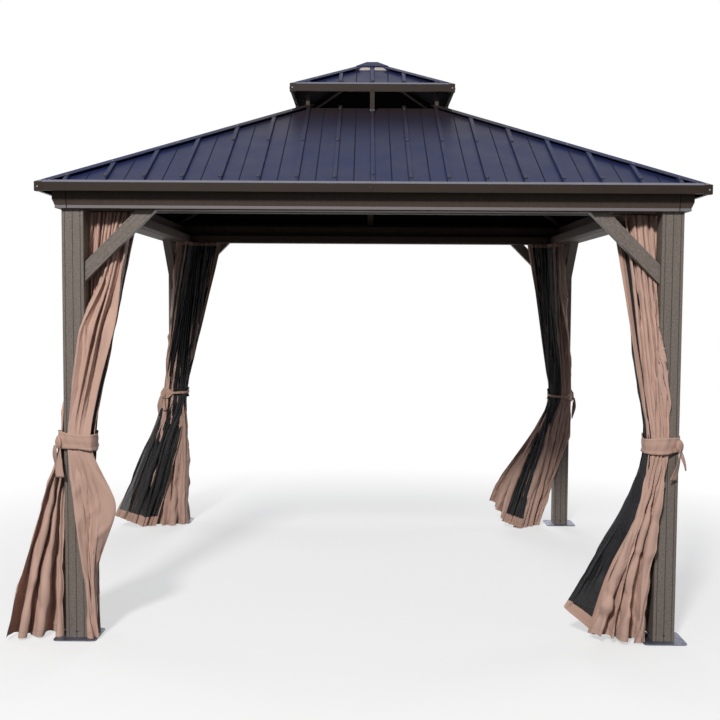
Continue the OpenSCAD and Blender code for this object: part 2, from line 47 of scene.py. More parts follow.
post_low, post_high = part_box("post_front_right")
POST_AT = (post_low.x + post_high.x) / 2  # a post's centre, along X and along Y
POST_HALF = (post_high.x - post_low.x) / 2
POST_OUTER = POST_AT + POST_HALF
PLATE_T = 0.005  # base plate
OVER_PLATE = 0.102  # half a base plate, and a little more
TRIM_H = 0.038  # eave trim
CAP_T = 0.0021  # how far a corner cap stands out from its trim
RIB_PITCH, RIB_H = 0.172, 0.014
VENT = 0.36  # half the opening in the lower roof
LIP_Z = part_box("beam_corners")[0].z  # lower lip of the cornice
JOINT_AT = POST_OUTER - 0.030  # joint beside each corner piece of the cornice
STRAP_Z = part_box("vent_straps")[0].z
RAIL_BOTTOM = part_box("curtain_rails")[0].z
BAND_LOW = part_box("tie_bands")[0].z
BAND_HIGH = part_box("tie_bands")[1].z
BAND_MID = (BAND_LOW + BAND_HIGH) / 2
CORNERS = {
    "front_left": (-1, -1), "front_right": (1, -1),
    "rear_left": (-1, 1), "rear_right": (1, 1),
}
SIDES = (0, 90, 180, 270)  # turns about Z from the front


class Roof:
    """One of the two hip roofs. Places on it are distances from the centre in plan."""

    def __init__(self, trim_low, trim_high, degrees):
        self.eave = trim_high.x
        self.eave_z = trim_low.z + TRIM_H
        self.angle = math.radians(degrees)
        self.pan = RIB_H / math.cos(self.angle)  # from a rib's top straight down to a pan

    def z(self, at):
        """Height of the ribs' tops."""
        return self.eave_z + (self.eave - at) * math.tan(self.angle)


LOWER = Roof(*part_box("eave_trims"), 25.4)
TOP = Roof(*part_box("top_trims"), 25)


# ---------- materials ----------

def srgb(r, g, b):
    """A colour written as screen values from 11 to 255, as Blender's linear colour."""
    return tuple(((c / 255 + 0.055) / 1.055) ** 2.4 for c in (r, g, b)) + (1.0,)


def tint(colour, share):
    return tuple(c * share for c in colour[:3]) + (1.0,)


class Paint:
    """A Principled material with a few short-hands for its nodes."""

    def __init__(self, name, colour, rough, **sockets):
        self.m = bpy.data.materials.new(name)
        self.m.use_nodes = True
        self.tree = self.m.node_tree
        self.b = self.tree.nodes["Principled BSDF"]
        self.b.inputs["Base Color"].default_value = colour
        self.b.inputs["Roughness"].default_value = rough
        for key, value in sockets.items():
            self.b.inputs[key.replace("_", " ")].default_value = value
        self.m.diffuse_color = colour
        self.height = None

    def node(self, kind, **values):
        n = self.tree.nodes.new(kind)
        for key, value in values.items():
            if hasattr(n, key):
                setattr(n, key, value)
            else:
                n.inputs[key.replace("_", " ")].default_value = value
        return n

    def link(self, a, b):
        self.tree.links.new(a, b)

    def coords(self, kind="Object", scale=(1, 1, 1)):
        tex = self.node("ShaderNodeTexCoord")
        mapping = self.node("ShaderNodeMapping")
        mapping.inputs["Scale"].default_value = scale
        self.link(tex.outputs[kind], mapping.inputs["Vector"])
        return mapping.outputs["Vector"]

    def split(self, vector):
        """The X, Y and Z outputs of a vector."""
        n = self.node("ShaderNodeSeparateXYZ")
        self.link(vector, n.inputs["Vector"])
        return n.outputs

    def face_z(self):
        """How far a face looks up: 1 is up and -1 is down."""
        return self.split(self.node("ShaderNodeNewGeometry").outputs["True Normal"])["Z"]

    def noise(self, scale, detail=3, stretch=(1, 1, 1), kind="Object", rough=0.55):
        n = self.node("ShaderNodeTexNoise", Scale=scale, Detail=detail, Roughness=rough)
        self.link(self.coords(kind, stretch), n.inputs["Vector"])
        return n.outputs["Fac"]

    def threads(self, scale, **values):
        """Two crossed sets of threads, across and along the cloth."""
        uv = self.coords("UV")
        out = []
        for direction in ("X", "Y"):
            wave = self.node("ShaderNodeTexWave", Scale=scale, bands_direction=direction, **values)
            self.link(uv, wave.inputs["Vector"])
            out.append(wave.outputs["Fac"])
        return out

    def ramp(self, fac, low, high, a, b):
        """Maps fac from low-high to the colours a-b."""
        n = self.node("ShaderNodeValToRGB")
        first, last = n.color_ramp.elements[0], n.color_ramp.elements[1]
        first.position, last.position = low, high
        first.color, last.color = a, b
        self.link(fac, n.inputs["Fac"])
        return n.outputs["Color"]

    def shades(self, fac, low, high, colour, dark, light):
        """Maps fac from low-high to a darker and a lighter share of one colour."""
        return self.ramp(fac, low, high, tint(colour, dark), tint(colour, light))

    def mix(self, fac, a, b):
        n = self.node("ShaderNodeMix", data_type="RGBA", blend_type="MIX")
        if isinstance(fac, float):
            n.inputs[0].default_value = fac
        else:
            self.link(fac, n.inputs[0])
        for socket, value in ((n.inputs[6], a), (n.inputs[7], b)):
            if isinstance(value, tuple):
                socket.default_value = value
            else:
                self.link(value, socket)
        return n.outputs[2]

    def math(self, operation, a, b=0.0):
        n = self.node("ShaderNodeMath", operation=operation)
        for socket, value in ((n.inputs[0], a), (n.inputs[1], b)):
            if isinstance(value, (int, float)):
                socket.default_value = value
            else:
                self.link(value, socket)
        return n.outputs[0]

    def from_centre(self, operation, xyz):
        """The MAXIMUM or MINIMUM of a point's distances from the centre along X and Y."""
        x, y = self.math("ABSOLUTE", xyz["X"]), self.math("ABSOLUTE", xyz["Y"])
        return self.math(operation, x, y)

    def between(self, fac, low, high, a, b):
        """Maps fac from low-high to the numbers a-b."""
        n = self.node("ShaderNodeMapRange", clamp=True)
        for key, value in zip(("From Min", "From Max", "To Min", "To Max"), (low, high, a, b)):
            n.inputs[key].default_value = value
        self.link(fac, n.inputs["Value"])
        return n.outputs["Result"]

    def colour(self, out):
        self.link(out, self.b.inputs["Base Color"])

    def cover(self, mask, colour):
        """Lays a colour over the base colour so far, where the mask is 1."""
        self.colour(self.mix(mask, self.b.inputs["Base Color"].links[0].from_socket, colour))

    def rough(self, out):
        self.link(out, self.b.inputs["Roughness"])

    def bump(self, height, distance, strength=1.0):
        n = self.node("ShaderNodeBump", Strength=strength, Distance=distance)
        self.link(height, n.inputs["Height"])
        if self.height:
            self.link(self.height, n.inputs["Normal"])
        self.height = n.outputs["Normal"]
        self.link(self.height, self.b.inputs["Normal"])


def hammered(name, colour, grain=1.0, rough=0.46, spec=0.25):
    """Powder coat with a fine hammered grain and soft streaks up and down."""
    p = Paint(name, colour, rough, Specular_IOR_Level=spec)
    fine = p.noise(135, 5, rough=0.7)
    streak = p.noise(60, 3, (1, 1, 0.06))
    cloud = p.noise(5, 3)
    speckled = p.shades(fine, 0.38, 0.64, colour, 1 - 0.52 * grain, 1 + 0.55 * grain)
    streaked = p.mix(0.28, speckled, p.shades(streak, 0.3, 0.7, colour, 0.72, 1.25))
    p.colour(p.mix(0.3, streaked, p.shades(cloud, 0.3, 0.7, colour, 0.82, 1.15)))
    p.rough(p.between(fine, 0.3, 0.7, rough - 0.08, rough + 0.1))
    p.bump(p.noise(420, 2), 0.0005, 0.35)
    return p


def smooth_coat(name, colour, rough, **sockets):
    """Smooth satin coat with faint specks, handling marks and a slight waviness."""
    p = Paint(name, colour, rough, **sockets)
    cloud = p.noise(7, 5)
    speck = p.noise(260, 2)
    base = p.shades(cloud, 0.3, 0.75, colour, 0.86, 1.16)
    p.colour(p.mix(0.18, base, p.shades(speck, 0.35, 0.7, colour, 0.7, 1.5)))
    p.rough(p.between(cloud, 0.25, 0.8, rough - 0.05, rough + 0.09))
    p.bump(p.noise(3.2, 2), 0.004, 0.25)
    p.bump(p.noise(500, 2), 0.0002, 0.2)
    return p


def galvanised(name, colour):
    """Zinc with its spangle."""
    p = Paint(name, colour, 0.42, Metallic=0.85)
    cells = p.node("ShaderNodeTexVoronoi", Scale=70)
    p.link(p.coords(), cells.inputs["Vector"])
    spangle = p.node("ShaderNodeSeparateColor")
    p.link(cells.outputs["Color"], spangle.inputs["Color"])
    p.colour(p.shades(spangle.outputs[0], 0.0, 1.0, colour, 0.82, 1.12))
    p.rough(p.between(spangle.outputs[1], 0.0, 1.0, 0.32, 0.55))
    p.bump(p.noise(300, 3), 0.0003, 0.3)
    return p


def woven(name, colour):
    """Plain-woven polyester: threads both ways, slubs, soft creases and a stitched hem."""
    stitch_up, stitch_half = 0.030, 0.0011  # metres above the hem, and half the line's width
    p = Paint(name, colour, 0.82, Sheen_Weight=0.12, Sheen_Roughness=0.5, Specular_IOR_Level=0.25)
    weave = p.math("MULTIPLY", *p.threads(320, Distortion=0.4))
    slub = p.noise(900, 2, (1, 0.05, 1), "UV")
    cloud = p.noise(6, 4)
    shade = p.shades(cloud, 0.3, 0.7, colour, 0.93, 1.05)
    shade = p.mix(0.12, shade, p.shades(slub, 0.3, 0.7, colour, 0.72, 1.2))
    stitch = p.math("COMPARE", p.split(p.coords("UV"))["Y"], stitch_up)
    stitch.node.inputs[2].default_value = stitch_half
    p.colour(p.mix(p.math("MULTIPLY", stitch, 0.5), shade, tint(colour, 0.45)))
    p.bump(weave, 0.0003, 0.3)
    p.bump(p.noise(38, 4, (1, 1, 0.5)), 0.0016, 0.35)
    return p


def mesh_net(name, colour):
    """Fine black netting: see-through between its threads."""
    p = Paint(name, colour, 0.6, Specular_IOR_Level=0.3)
    cloud = p.noise(14, 4, (1, 1, 0.3))
    p.colour(p.shades(cloud, 0.3, 0.75, colour, 0.75, 1.6))
    threads = p.math("MAXIMUM", *p.threads(95))
    p.link(p.between(threads, 0.45, 0.75, 0.74, 1.0), p.b.inputs["Alpha"])
    p.bump(threads, 0.0002, 0.3)
    return p


def grooved(name, colour):
    """Post paint with painted shade in the three grooves of each face."""
    groove_out, groove_half = 0.035, 0.0019  # an outer groove from the middle one, half a groove
    p = hammered(name, colour)
    place = p.split(p.coords())
    grooves = []
    for axis in ("X", "Y"):
        off = p.math("SUBTRACT", p.math("ABSOLUTE", place[axis]), POST_AT)
        off = p.math("ABSOLUTE", off)
        outer = p.math("ABSOLUTE", p.math("SUBTRACT", off, groove_out))
        grooves.append(p.math("LESS_THAN", p.math("MINIMUM", off, outer), groove_half))
    # painted shade: the grooves are darkened in colour
    p.cover(p.math("MULTIPLY", p.math("MAXIMUM", *grooves), 0.75), tint(colour, 0.22))
    return p


def top_highlighted(name, colour, rough, top_highlight):
    """Satin coat whose upward faces carry a pale painted highlight."""
    p = smooth_coat(name, colour, rough, Specular_IOR_Level=0.12)
    # painted highlight: upward faces turn pale
    p.cover(p.between(p.face_z(), 0.6, 0.85, 0.0, 0.8), top_highlight)
    return p


def roof_coat(name, colour, rough, **sockets):
    """Prepainted sheet: a painted reflection in dull brown near the vent, and painted shade
    underneath.
    """
    brown_to, brown_from = 0.42, 1.0  # all brown within the first, and none past the second
    p = smooth_coat(name, colour, rough, **sockets)
    # painted reflection: dull brown near the vent, below the top roof
    place = p.split(p.coords())
    out = p.from_centre("MAXIMUM", place)
    out = p.math("ADD", out, p.math("MULTIPLY", p.noise(6, 3), 0.1))
    near = p.between(out, brown_to, brown_from, 1.0, 0.0)
    below_top = p.math("LESS_THAN", place["Z"], TOP.eave_z - 0.05)
    p.cover(p.math("MULTIPLY", near, below_top), srgb(46, 39, 38))
    # painted shade: downward faces are near black on a rough backing coat
    back = p.between(p.face_z(), -0.3, -0.1, 1.0, 0.0)
    p.cover(back, srgb(20, 18, 18))
    satin = p.b.inputs["Roughness"].links[0].from_socket
    p.rough(p.math("MAXIMUM", satin, p.math("MULTIPLY", back, 0.95)))
    return p


def lipped(name, colour, lip):
    """Beam paint, with a painted highlight along the cornice's lower lip and painted shade in the
    gaps of its corner joints.
    """
    lip_h, joint_half = 0.013, 0.0028
    p = hammered(name, colour, 0.5, 0.55, 0.1)
    place = p.split(p.coords())
    out = p.from_centre("MAXIMUM", place)
    # painted highlight along the cornice's lower lip
    lip_highlight = p.between(place["Z"], LIP_Z + lip_h - 0.0005, LIP_Z + lip_h + 0.0005, 1.0, 0.0)
    lip_highlight = p.math("MULTIPLY", lip_highlight, p.math("GREATER_THAN", out, POST_OUTER + 0.002))
    p.cover(p.math("MULTIPLY", lip_highlight, 0.8), lip)
    # painted shade: a dark line in the gap of each corner joint
    off = p.math("ABSOLUTE", p.math("SUBTRACT", p.from_centre("MINIMUM", place), JOINT_AT))
    joint = p.math("LESS_THAN", off, joint_half)
    joint = p.math("MULTIPLY", joint, p.math("GREATER_THAN", out, POST_OUTER - 0.004))
    p.cover(p.math("MULTIPLY", joint, 0.8), srgb(20, 17, 16))
    return p


BROWN = srgb(112, 104, 98)
FRAME = hammered("powder_coat_hammered", BROWN).m
POST = grooved("powder_coat_post", BROWN).m
# the beam's last colour is the painted highlight on the cornice's lip
BEAM = lipped("powder_coat_beam", srgb(78, 68, 62), srgb(128, 123, 127)).m
# the trim's last colour is the painted highlight on its upward faces
TRIM = top_highlighted("powder_coat_trim", srgb(46, 37, 32), 0.45, srgb(128, 130, 144)).m
# the sheet is dark grey-brown; the roof's navy colours are a painted reflection of blue sky
BEADS = smooth_coat("prepainted_roof_crease", srgb(20, 23, 42), 0.75, Specular_IOR_Level=0.1).m
SHEET = roof_coat("prepainted_roof_sheet", srgb(34, 40, 74), 0.36, Specular_IOR_Level=0.07,
                  Specular_Tint=srgb(92, 122, 245)).m
STEEL = galvanised("galvanised_steel", (0.17, 0.18, 0.24, 1)).m
CLOTH = woven("curtain_polyester", srgb(192, 160, 146)).m
TAPE = woven("netting_tape", srgb(184, 152, 138)).m
NET = mesh_net("black_netting", (0.007, 0.007, 0.009, 1)).m
SCREW = smooth_coat("screw_paint", srgb(42, 38, 38), 0.35, Metallic=0.4).m
ZINC = galvanised("zinc_rivet", (0.20, 0.20, 0.21, 1)).m
# near-black foam, as dark as the painted shade under the hip caps
FOAM = smooth_coat("closure_foam", srgb(14, 14, 16), 0.9).m
BRONZE = smooth_coat("closure_bronze", srgb(140, 132, 130), 0.45, Metallic=0.3).m
NYLON = smooth_coat("white_nylon", srgb(225, 225, 222), 0.4).m

# how the names of the CAD's nodes start, and their material; the rest is roof sheet
MATERIALS = (
    (("beam", "curtain_rails", "hip_rafters", "mid_rafters", "purlins", "vent_frame",
      "vent_struts", "top_rafters"), BEAM),
    (("post",), POST),
    (("braces",), FRAME),
    (("eave_trims", "eave_corner_caps", "top_trims", "top_corner_caps", "vent_straps"), TRIM),
    (("base_plates",), STEEL),
)
for name, o in nodes.items():
    o.data.materials.clear()
    o.data.materials.append(next((m for starts, m in MATERIALS if name.startswith(starts)), SHEET))


# ---------- mesh helpers ----------

def piece(name, verts, faces, material, smooth=True, uv=None):
    """A new mesh object that rides on the body; uv is one pair per vertex."""
    mesh = bpy.data.meshes.new(name)
    points = [tuple(v) for v in np.asarray(verts, float)]
    mesh.from_pydata(points, [], [tuple(int(i) for i in f) for f in faces])
    mesh.update()
    if uv is not None:
        layer = mesh.uv_layers.new(name="UVMap")
        loops = np.zeros(len(mesh.loops), np.int32)
        mesh.loops.foreach_get("vertex_index", loops)
        layer.data.foreach_set("uv", np.asarray(uv, np.float32)[loops].ravel())
    if smooth:
        mesh.shade_smooth()
    else:
        mesh.shade_flat()
    o = bpy.data.objects.new(name, mesh)
    scene.collection.objects.link(o)
    o.data.materials.append(material)
    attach(o, "root")
    return o


class Parts:
    """Collects many small shapes into one mesh; put adds one more of its own shape."""

    def __init__(self, shape=None):
        self.shape = shape
        self.verts, self.faces, self.count = [], [], 0

    def add(self, verts, faces, matrix=None):
        v = np.asarray(verts, float)
        if matrix is not None:
            m = np.array(matrix, float)
            v = v @ m[:3, :3].T + m[:3, 3]
        self.verts.append(v)
        self.faces += [tuple(i + self.count for i in f) for f in faces]
        self.count += len(v)

    def put(self, matrix):
        self.add(*self.shape, matrix)

    def make(self, name, material, slot, smooth=True):
        return piece(name, np.concatenate(self.verts), self.faces, material, smooth)


def lathe(profile, sides):
    """A closed solid turned about Z, from (radius, height) pairs that rise from radius 0 to 0."""
    verts, faces, rings = [], [], []
    for r, z in profile:
        if r < 1e-9:
            rings.append([len(verts)])
            verts.append((0, 0, z))
        else:
            rings.append(list(range(len(verts), len(verts) + sides)))
            angles = [2 * math.pi * k / sides for k in range(sides)]
            verts += [(r * math.cos(a), r * math.sin(a), z) for a in angles]
    for a, b in zip(rings, rings[1:]):
        for k in range(sides):
            j = (k + 1) % sides
            if len(a) == 1:
                faces.append((a[0], b[j], b[k]))
            elif len(b) == 1:
                faces.append((a[k], a[j], b[0]))
            else:
                faces.append((a[k], a[j], b[j], b[k]))
    return verts, faces


def belt(a, b, count):
    """The faces between two closed rows of count vertices, which start at a and at b."""
    return [(a + j, a + (j + 1) % count, b + (j + 1) % count, b + j) for j in range(count)]


def turn(degrees):
    return Matrix.Rotation(math.radians(degrees), 4, "Z")


def seat(x, y, z, tilt):
    """A place for a shape that stands on +Z, tilted first."""
    return Matrix.Translation((x, y, z)) @ Matrix.Rotation(tilt, 4, "X")


def on_slope(side, roof, x, at, lift=0.0):
    """A place on the ribs' tops, on one side of a roof."""
    return turn(side) @ seat(x, -at, roof.z(at) + lift, roof.angle)


def on_face(side, x, at, z):
    """A place on an upright face that looks outwards."""
    return turn(side) @ seat(x, -at, z, math.pi / 2)


# faces of a box, from the low and then the high pair of corners of one end, and the other end's
BOX_FACES = [(0, 1, 3, 2), (4, 6, 7, 5), (0, 2, 6, 4), (1, 5, 7, 3), (2, 3, 7, 6), (0, 4, 5, 1)]

# ---------- screws and rivets ----------

SCREW_SHAPE = lathe([(0, 0.0004), (0.0085, 0.0004), (0.0088, 0.0012), (0.0078, 0.0026),
                     (0.0056, 0.003), (0.0054, 0.0058), (0.0036, 0.0072), (0, 0.0075)], 14)
RIVET_SHAPE = lathe([(0, 0.0003), (0.0052, 0.0003), (0.005, 0.0014), (0.0034, 0.0028),
                     (0.0012, 0.0034), (0, 0.0034)], 12)
SCREW_ROW_EAVE, SCREW_ROW_EAVE_MID = 1.42, 1.38  # the middle rib's screws sit a little apart
SCREW_ROW_PURLIN = 0.925
SCREW_ROW_VENT, SCREW_ROW_VENT_MID = 0.42, 0.47
SCREW_ROW_TOP = 0.385
TRIM_SCREW_IN, TRIM_SCREW_DOWN, TOP_TRIM_SCREW_DOWN = 0.012, 0.021, 0.024
STRAP_T, STRAP_SCREW_OUT, STRAP_SCREW_UP = 0.0023, 0.012, 0.045
HIP_CAP_T, HIP_CAP_ASIDE = 0.0022, 0.030  # thickness, and from the hip line to its screws
FOOT_SCREW_Z = 0.032

roof_screws, rivets, small_screws = Parts(SCREW_SHAPE), Parts(RIVET_SHAPE), Parts(RIVET_SHAPE)
for side in SIDES:
    for n in range(-8, 9):
        rows = [SCREW_ROW_EAVE_MID if n == 0 else SCREW_ROW_EAVE]
        if 1 <= abs(n) <= 4:
            rows.append(SCREW_ROW_PURLIN)
        if abs(n) <= 1:
            rows.append(SCREW_ROW_VENT_MID if n == 0 else SCREW_ROW_VENT)
        for at in rows:
            roof_screws.put(on_slope(side, LOWER, n * RIB_PITCH, at))
    for n in range(-1, 2):
        roof_screws.put(on_slope(side, TOP, n * RIB_PITCH, SCREW_ROW_TOP))
    # one rivet on each face of each corner cap
    for sign in (-1, 1):
        for roof in (LOWER, TOP):
            x = sign * (roof.eave - TRIM_SCREW_IN)
            rivets.put(on_face(side, x, roof.eave + CAP_T, roof.eave_z - TRIM_SCREW_DOWN))
    # beside the middle splice of each trim
    small_screws.put(on_face(side, -TRIM_SCREW_IN, LOWER.eave, LOWER.eave_z - TRIM_SCREW_DOWN))
    small_screws.put(on_face(side, 0, TOP.eave, TOP.eave_z - TOP_TRIM_SCREW_DOWN))
    # both ends of the strap
    small_screws.put(on_slope(side, LOWER, 0, TOP.eave + STRAP_SCREW_OUT, STRAP_T))
    small_screws.put(on_face(side, 0, TOP.eave - CAP_T, STRAP_Z + STRAP_SCREW_UP))
# hip caps
for side in SIDES:
    for roof, rows in ((LOWER, (0.46, 0.72, 0.98, 1.24)), (TOP, (0.17, 0.33))):
        for at in rows:
            for sign in (-1, 1):
                x = sign * (at - HIP_CAP_ASIDE)
                rivets.put(on_slope(side, roof, x, at, HIP_CAP_T))
# each face of each post's foot
for x, y in CORNERS.values():
    for side in SIDES:
        small_screws.put(Matrix.Translation((x * POST_AT, y * POST_AT, 0))
                         @ on_face(side, 0, POST_HALF, FOOT_SCREW_Z))
roof_screws.make("roof_screws", SCREW, "roof")
rivets.make("cap_rivets", ZINC, "trim")
small_screws.make("small_screws", SCREW, "frame")

# ---------- beads, foam and closures of the roofs ----------

BEAD_HALF, BEAD_H, BEAD_SUNK = 0.0035, 0.0016, 0.0002
BEAD_EAVE_GAP, BEAD_HIP_GAP = 0.0275, 0.045  # left free at the eave, and beside a hip cap
beads = Parts()


def bead(side, roof, x, low_at, high_at):
    """A three-sided ridge along the middle of a pan."""
    up = np.array((0, -math.sin(roof.angle), math.cos(roof.angle)))
    across = np.array((BEAD_HALF, 0, 0))
    verts = []
    for at in (low_at, high_at):
        base = np.array((x, -at, roof.z(at) - roof.pan))
        foot = base - up * BEAD_SUNK
        verts += [foot - across, base + up * BEAD_H, foot + across]
    beads.add(verts, [(0, 1, 4, 3), (1, 2, 5, 4), (0, 3, 5, 2), (0, 2, 1), (3, 4, 5)], turn(side))


for side in SIDES:
    for roof, pans, opening in ((LOWER, 8, VENT + 0.001), (TOP, 2, 0.095)):
        for n in range(-pans, pans):
            x = (n + 0.5) * RIB_PITCH
            high_at = max(opening, abs(x) + BEAD_HIP_GAP)
            if high_at < roof.eave - 0.06:
                bead(side, roof, x, roof.eave - BEAD_EAVE_GAP, high_at)
beads.make("pan_beads", BEADS, "roof", smooth=False)

# dark foam under the hip caps, which closes the gap between cap and pans; its near-black stands in
# for the shade under the caps
FOAM_HALF, FOAM_SUNK, UNDER_CAP = 0.0035, 0.0006, 0.0004
foam = Parts()
for sx, sy in CORNERS.values():
    across = np.array((-sy, sx, 0)) * FOAM_HALF / math.sqrt(2)
    for roof, low_at, high_at in ((LOWER, LOWER.eave - 0.055, VENT + 0.004),
                                  (TOP, TOP.eave - 0.05, 0.092)):
        verts = []
        for at in (low_at, high_at):
            for drop in (roof.pan + FOAM_SUNK, UNDER_CAP):
                p = np.array((sx * at, sy * at, roof.z(at) - drop))
                verts += [p - across, p + across]
        foam.add(verts, BOX_FACES)
foam.make("hip_foam", FOAM, "roof", smooth=False)

# pale closure pieces between the ribs, under the edge of the top cap
CLOSURE_FROM, CLOSURE_TO = 0.013, 0.098  # beside the middle rib, and as far as the next one
CLOSURE_LOW_AT, CLOSURE_HIGH_AT = 0.106, 0.088
closures = Parts()
for side in SIDES:
    for x0, x1 in ((-CLOSURE_TO, -CLOSURE_FROM), (CLOSURE_FROM, CLOSURE_TO)):
        verts = []
        for at in (CLOSURE_LOW_AT, CLOSURE_HIGH_AT):
            for drop in (TOP.pan - 0.0004, 0.0012):
                verts += [(x0, -at, TOP.z(at) - drop), (x1, -at, TOP.z(at) - drop)]
        closures.add(verts, BOX_FACES, turn(side))
closures.make("rib_closures", BRONZE, "trim", smooth=False)

# ---------- where the cloth passes ----------

CLOTH_TOP = RAIL_BOTTOM - 0.002
SHOULDER_Z, MID_Z, LOW_Z, LOWER_Z = 1.66, 1.45, 0.62, 0.30
KEY_Z = (CLOTH_TOP, SHOULDER_Z, MID_Z, BAND_HIGH, BAND_LOW, LOW_Z, LOWER_Z)
HEM_MM = 8  # height of the hem, where a station doesn't give it
BRACE_BACK_MM = 34  # back of the knee braces, inwards from the post's centre
BAND_V = 1 - BAND_MID / CLOTH_TOP  # the band's place down the cloth, as a share


def fan(m0, m1, count, *levels):
    """Stations of a pleated fan. A level is (start, end, depth), and the folds swing across it."""
    out = []
    for i in range(count):
        t = i / (count - 1)
        row = []
        for start, end, depth in levels:
            start, end = np.array(start, float), np.array(end, float)
            at = start + (end - start) * t
            along = (end - start)[:2]
            side = np.array((-along[1], along[0])) / max(np.hypot(*along), 1e-6)
            at[:2] += side * depth / 2 * (1 if i % 2 else -1)
            row.append(tuple(at))
        out.append((m0 + (m1 - m0) * t, *row))
    return out


# A station is one line down the cloth: its place across the cloth from 0 to 1, and then where it
# passes at the band, at LOW_Z, at LOWER_Z and at the hem, and perhaps at MID_Z. Places are in
# millimetres inwards from the post's centre, along X and then along Y. A hem may add its height.
# The reach is how far the cloth's two ends go along the rails.
CURTAINS = {
    "front_left": dict(reach=(252, 250), stations=[
        (0.00, (75, -72), (198, -46), (92, -46), (92, -42, 6), (176, -12)),
        (0.16, (-33, -70), (-6, -68), (48, -66), (74, -64, 4), (40, -68)),
        (0.21, (58, -60), (74, -52), (68, -52), (72, -54, 6), (74, 4)),
        (0.27, (66, -18), (74, -22), (72, -20), (84, -24, 8)),
        (0.32, (62, 30), (64, 34), (66, 28), (70, 20, 8)),
        (0.38, (58, 66), (56, 70), (60, 66), (62, 58, 8)),
        (0.45, (16, 72), (10, 78), (4, 80), (0, 84, 8)),
        (0.52, (-38, 74), (-52, 74), (-58, 68), (-54, 66, 8)),
        *fan(0.58, 1.0, 8, ((-62, 56), (-68, -46), 12), ((-80, 42), (-154, -46), 36),
             ((-76, 26), (-244, -52), 64), ((-66, 14, 6), (-324, -60, 12), 86)),
    ]),
    "front_right": dict(reach=(192, 240), stations=[
        *fan(0.0, 0.42, 9, ((78, -64), (2, -72), 10), ((148, -58), (44, -74), 30),
             ((254, -48), (92, -76), 54), ((318, -46, 40), (104, -76, 4), 74)),
        (0.46, (60, -58), (86, -46), (112, -22), (132, -10, 8), (80, -10)),
        (0.55, (68, -4), (96, 0), (132, 12), (168, 22, 8)),
        (0.64, (66, 42), (86, 48), (106, 52), (132, 62, 8)),
        (0.72, (50, 72), (60, 78), (76, 84), (92, 92, 8)),
        (0.81, (8, 74), (14, 80), (26, 86), (40, 94, 8)),
        (0.90, (-26, 72), (-22, 78), (-12, 82), (8, 86, 8)),
        (1.00, (-54, 66), (-52, 72), (-48, 76), (-34, 80, 8)),
    ]),
    "rear_left": dict(reach=(292, 250), stations=[
        (0.00, (56, -26), (58, -12), (62, 0), (72, 18, 8)),
        (0.10, (56, 34), (58, 58), (64, 86), (72, 106, 8)),
        *fan(0.17, 0.66, 7, ((54, 74), (-56, 84), 10), ((60, 88), (-90, 102), 28),
             ((54, 108), (-124, 140), 54), ((58, 128, 6), (-160, 190, 8), 74)),
        *fan(0.73, 1.0, 5, ((-72, 66), (-70, -30), 12), ((-120, 86), (-172, -10), 30),
             ((-170, 120), (-286, 0), 50), ((-210, 150, 8), (-340, 20, 10), 66)),
    ]),
    "rear_right": dict(reach=(256, 240), stations=[
        *fan(0.0, 0.36, 5, ((70, -12), (62, 66), 8), ((212, -4), (170, 80), 22),
             ((440, -4), (340, 100), 36), ((486, -2, 170), (400, 120, 60), 44)),
        *fan(0.45, 0.78, 6, ((60, 74), (-4, 78), 10), ((120, 98), (50, 98), 26),
             ((215, 132), (118, 112), 40), ((310, 176, 6), (196, 116, 6), 50)),
        (0.85, (-40, 76), (12, 82), (92, 84), (178, 96, 6)),
        (0.92, (-62, 58), (-24, 76), (84, 78), (170, 88, 6)),
        (1.00, (-62, 4), (-56, 68), (78, 72), (162, 80, 6)),
    ]),
}
NETTINGS = {
    "front_left": dict(reach=(270, 262), stations=[
        *fan(0.0, 1.0, 9, ((82, -46), (62, 82), 8), ((90, -20), (40, 92), 14),
             ((88, -6), (10, 98), 16), ((92, -6), (-6, 108), 20)),
    ]),
    "front_right": dict(reach=(242, 262), stations=[
        (0.00, (92, -48), (120, -50), (268, -8), (342, -4, 30)),
        (0.05, (84, -66), (100, -62), (244, -2), (306, -2, 20)),
        *fan(0.10, 0.62, 6, ((92, -40), (88, 44), 8), ((168, -4), (124, 66), 26),
             ((350, 30), (176, 84), 44), ((446, 36, 140), (236, 84, 10), 28)),
        (0.75, (76, 84), (92, 92), (116, 104), (140, 114)),
        (0.87, (40, 94), (50, 98), (64, 106), (84, 114)),
        (1.00, (0, 94), (10, 100), (22, 106), (44, 114)),
    ]),
    "rear_left": dict(reach=(330, 280), stations=[
        *fan(0.0, 0.34, 5, ((66, -2), (62, 84), 8), ((40, 122), (-16, 126), 14),
             ((-40, 160), (-90, 176), 28), ((-120, 214), (-184, 240), 14)),
        *fan(0.42, 1.0, 6, ((54, 92), (-84, 74), 10), ((-50, 128), (-172, 96), 24),
             ((-130, 190), (-296, 210), 38), ((-200, 260, 10), (-384, 306, 96), 14)),
    ]),
    "rear_right": dict(reach=(262, 270), stations=[
        *fan(0.0, 0.55, 6, ((84, -4), (80, 84), 8), ((196, 84), (130, 118), 16),
             ((330, 132), (230, 160), 26), ((428, 176, 50), (300, 226, 8), 14)),
        *fan(0.62, 1.0, 4, ((60, 92), (10, 96), 8), ((128, 116), (150, 106), 12),
             ((236, 160), (262, 144), 20), ((310, 222, 8), (350, 196, 10), 14)),
    ]),
}


def from_post(corner, a, b):
    """World X and Y of a place that is a and b inwards from a post's centre."""
    sx, sy = CORNERS[corner]
    return sx * (POST_AT - a), sy * (POST_AT - b)


